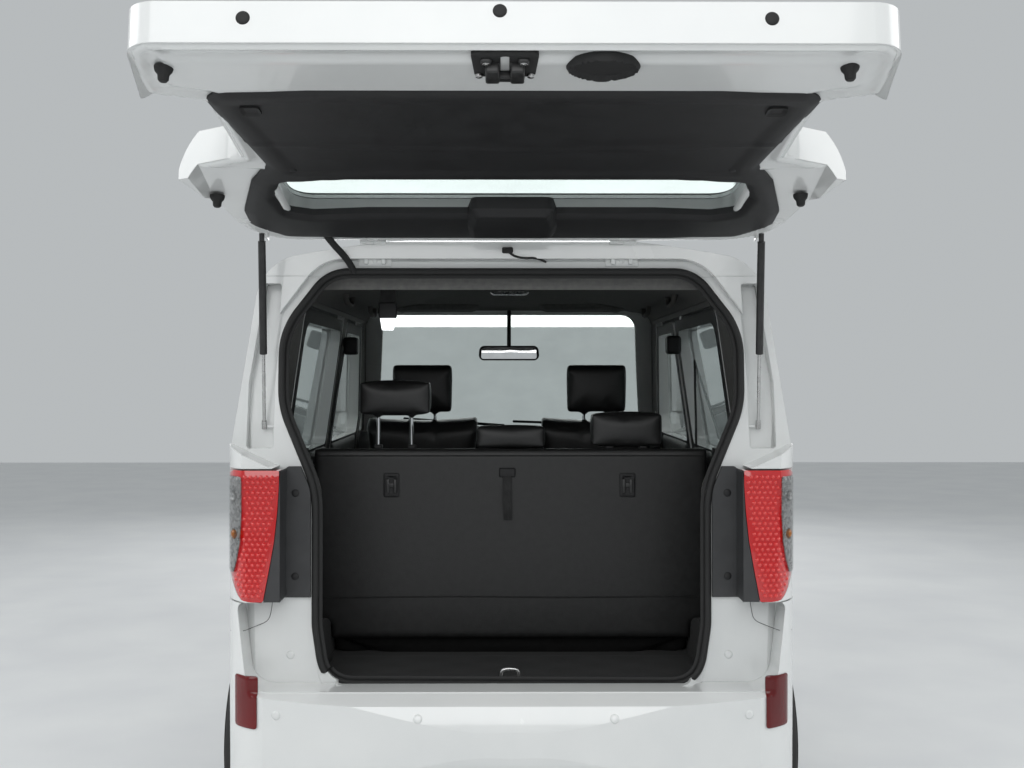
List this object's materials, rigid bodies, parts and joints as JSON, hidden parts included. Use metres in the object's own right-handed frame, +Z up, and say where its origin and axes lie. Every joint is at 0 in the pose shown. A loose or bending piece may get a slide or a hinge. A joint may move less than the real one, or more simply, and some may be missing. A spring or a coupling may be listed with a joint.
{
  "type": "boxy five-door city car",
  "caption": "Tall, boxy white city car with its tailgate raised: hinged doors, bonnet and tailgate, steered front wheels and turning wheels.",
  "frame": {"origin": "on the ground, in the middle of the car's length and width as it stands with its tailgate raised", "axes": "+Z up, the nose along -Y, the car's left side along +X"},
  "size_m": [1.856, 4.57, 1.9834],
  "materials": {
    "body_paint": "gloss white enamel",
    "black_plastic": "grained black plastic",
    "grey_plastic": "grained dark grey plastic",
    "seal_rubber": "soft matt rubber",
    "glass": "clear tinted glass",
    "lamp_red": "clear red lens",
    "lamp_clear": "clear lens over chromed reflector",
    "tyre_rubber": "black tread rubber",
    "rim_alloy": "silver lacquer",
    "bare_steel": "dull steel",
    "black_steel": "satin black paint",
    "cast_metal": "cast surface",
    "cloth_black": "woven black cloth and carpet",
    "headlining": "brushed dark lining"
  },
  "bodies": {
    "body": {"side_frame_left": "body_paint", "side_frame_right": "body_paint", "roof_panel": "body_paint", "rear_panel": "body_paint", "front_fenders": "body_paint", "front_bumper": "body_paint", "grille": "black_plastic", "headlamps": "lamp_clear", "cowl": "black_plastic", "windscreen": "glass", "door_sliding_right": "body_paint", "glass_sliding_right": "glass", "rear_bumper": "body_paint", "tail_lamps": "lamp_red", "lamp_panels": "grey_plastic", "boot_seal": "seal_rubber", "front_suspension": "black_steel", "rear_axle": "black_steel", "floor_pan": "body_paint", "headliner": "headlining", "dashboard": "black_plastic", "load_trims": "black_plastic", "rear_bench": "cloth_black", "rear_headrests": "cloth_black", "front_chairs": "cloth_black", "engine_block": "cast_metal", "exhaust": "bare_steel", "fuel_tank": "black_plastic", "inner_mirror": "black_plastic"},
    "door_front_left": {"door_front_left": "body_paint", "glass_front_left": "glass"},
    "door_rear_left": {"door_rear_left": "body_paint", "glass_rear_left": "glass"},
    "door_front_right": {"door_front_right": "body_paint", "glass_front_right": "glass"},
    "bonnet": {"bonnet": "body_paint"},
    "tailgate": {"tailgate": "body_paint", "tailgate_glass": "glass", "tailgate_trim": "black_plastic"},
    "fuel_flap": {"fuel_flap": "body_paint"},
    "steering_wheel": {"steering_wheel": "black_plastic"},
    "strut_cylinder_left": {"strut_cylinder_left": "black_steel"},
    "strut_rod_left": {"strut_rod_left": "bare_steel"},
    "knuckle_left": {"knuckle_left": "cast_metal"},
    "strut_cylinder_right": {"strut_cylinder_right": "black_steel"},
    "strut_rod_right": {"strut_rod_right": "bare_steel"},
    "knuckle_right": {"knuckle_right": "cast_metal"},
    "wheel_front_left": {"tyre_front_left": "tyre_rubber", "rim_front_left": "rim_alloy"},
    "wheel_front_right": {"tyre_front_right": "tyre_rubber", "rim_front_right": "rim_alloy"},
    "wheel_rear_left": {"tyre_rear_left": "tyre_rubber", "rim_rear_left": "rim_alloy"},
    "wheel_rear_right": {"tyre_rear_right": "tyre_rubber", "rim_rear_right": "rim_alloy"}
  },
  "joints": [
    {"name": "door_front_left", "type": "hinge", "parent": "body", "child": "door_front_left", "pos_m": [0.7985, -1.338, 0.9], "axis": [0, 0, -1], "range_deg": [0, 65]},
    {"name": "door_rear_left", "type": "hinge", "parent": "body", "child": "door_rear_left", "pos_m": [0.7985, -0.376, 0.9], "axis": [0, 0, -1], "range_deg": [0, 70]},
    {"name": "door_front_right", "type": "hinge", "parent": "body", "child": "door_front_right", "pos_m": [-0.7985, -1.338, 0.9], "axis": [0, 0, 1], "range_deg": [0, 90]},
    {"name": "bonnet", "type": "hinge", "parent": "body", "child": "bonnet", "pos_m": [0, -1.6635, 1.041], "axis": [-1, 0, 0], "range_deg": [0, 58]},
    {"name": "tailgate", "type": "hinge", "parent": "body", "child": "tailgate", "pos_m": [0, 1.114, 1.683], "axis": [1, 0, 0], "range_deg": [-98.5, 0]},
    {"name": "fuel_flap", "type": "hinge", "parent": "body", "child": "fuel_flap", "pos_m": [0.7926, 0.846, 0.96], "axis": [0, 0, -1], "range_deg": [0, 95]},
    {"name": "steering_wheel", "type": "hinge", "parent": "body", "child": "steering_wheel", "pos_m": [0.35, -1.049, 0.935], "axis": [0, 0.8988, 0.4384], "range_deg": [-525, 525]},
    {"name": "steer_left", "type": "hinge", "parent": "body", "child": "knuckle_left", "pos_m": [0.61698, -1.684, 0.278], "axis": [-0.1805, 0, 0.9836], "range_deg": [-35, 35]},
    {"name": "steer_right", "type": "hinge", "parent": "body", "child": "knuckle_right", "pos_m": [-0.61698, -1.684, 0.278], "axis": [0.1805, 0, 0.9836], "range_deg": [-35, 35]},
    {"name": "wheel_front_left", "type": "hinge", "parent": "knuckle_left", "child": "wheel_front_left", "pos_m": [0.705, -1.684, 0.278], "axis": [1, 0, 0], "continuous": true},
    {"name": "wheel_front_right", "type": "hinge", "parent": "knuckle_right", "child": "wheel_front_right", "pos_m": [-0.705, -1.684, 0.278], "axis": [1, 0, 0], "continuous": true},
    {"name": "wheel_rear_left", "type": "hinge", "parent": "body", "child": "wheel_rear_left", "pos_m": [0.705, 0.836, 0.278], "axis": [1, 0, 0], "continuous": true},
    {"name": "wheel_rear_right", "type": "hinge", "parent": "body", "child": "wheel_rear_right", "pos_m": [-0.705, 0.836, 0.278], "axis": [1, 0, 0], "continuous": true},
    {"name": "strut_swing_left", "type": "hinge", "parent": "tailgate", "child": "strut_cylinder_left", "pos_m": [0.65, 1.2659, 1.68144], "axis": [0.9927, -0.0897, 0.0804], "range_deg": [0, 118.31]},
    {"name": "strut_slide_left", "type": "slide", "parent": "strut_cylinder_left", "child": "strut_rod_left", "axis": [0.0493, -0.3069, -0.9505], "range_m": [-0.17334, 0]},
    {"name": "strut_swing_right", "type": "hinge", "parent": "tailgate", "child": "strut_cylinder_right", "pos_m": [-0.65, 1.2659, 1.68144], "axis": [0.9927, 0.0897, -0.0804], "range_deg": [0, 118.31]},
    {"name": "strut_slide_right", "type": "slide", "parent": "strut_cylinder_right", "child": "strut_rod_right", "axis": [-0.0493, -0.3069, -0.9505], "range_m": [-0.17334, 0]}
  ],
  "couplings": [
    {"joint": "steer_left", "follows": "steering_wheel", "ratio": 0.066667},
    {"joint": "steer_right", "follows": "steering_wheel", "ratio": 0.066667},
    {"joint": "strut_swing_left", "follows": "tailgate", "ratio": -1.2011},
    {"joint": "strut_slide_left", "follows": "tailgate", "m_per_rad": 0.10082},
    {"joint": "strut_swing_right", "follows": "tailgate", "ratio": -1.2011},
    {"joint": "strut_slide_right", "follows": "tailgate", "m_per_rad": 0.10082}
  ]
}
